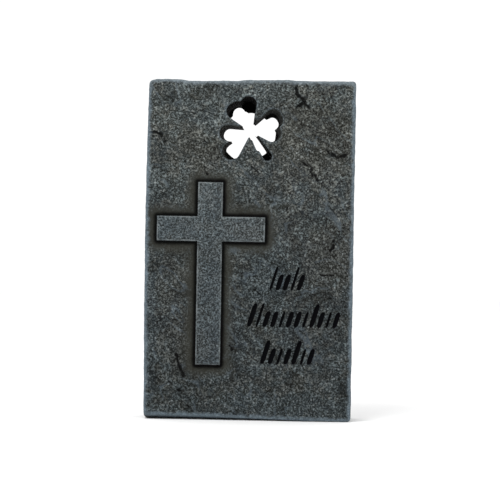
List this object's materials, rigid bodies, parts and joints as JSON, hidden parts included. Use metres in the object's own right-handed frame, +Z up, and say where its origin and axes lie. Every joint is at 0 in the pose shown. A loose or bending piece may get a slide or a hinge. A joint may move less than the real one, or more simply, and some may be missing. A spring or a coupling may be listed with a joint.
{
  "type": "headstone",
  "caption": "Small upright memorial slab in cast stone, with a raised Latin cross, a pierced shamrock and shallow rows of strokes in place of an inscription.",
  "frame": {"origin": "centre of the footprint, on the ground", "axes": "+Z up, +Y out of the plain back, so the carved face looks towards -Y; X across the face"},
  "size_m": [0.1237, 0.0318, 0.2013],
  "materials": {
    "cast_stone": "matt grey cast stone with a slate-like face, worn paler along its edges"
  },
  "bodies": {
    "root": {"headstone": "cast_stone"}
  },
  "joints": []
}
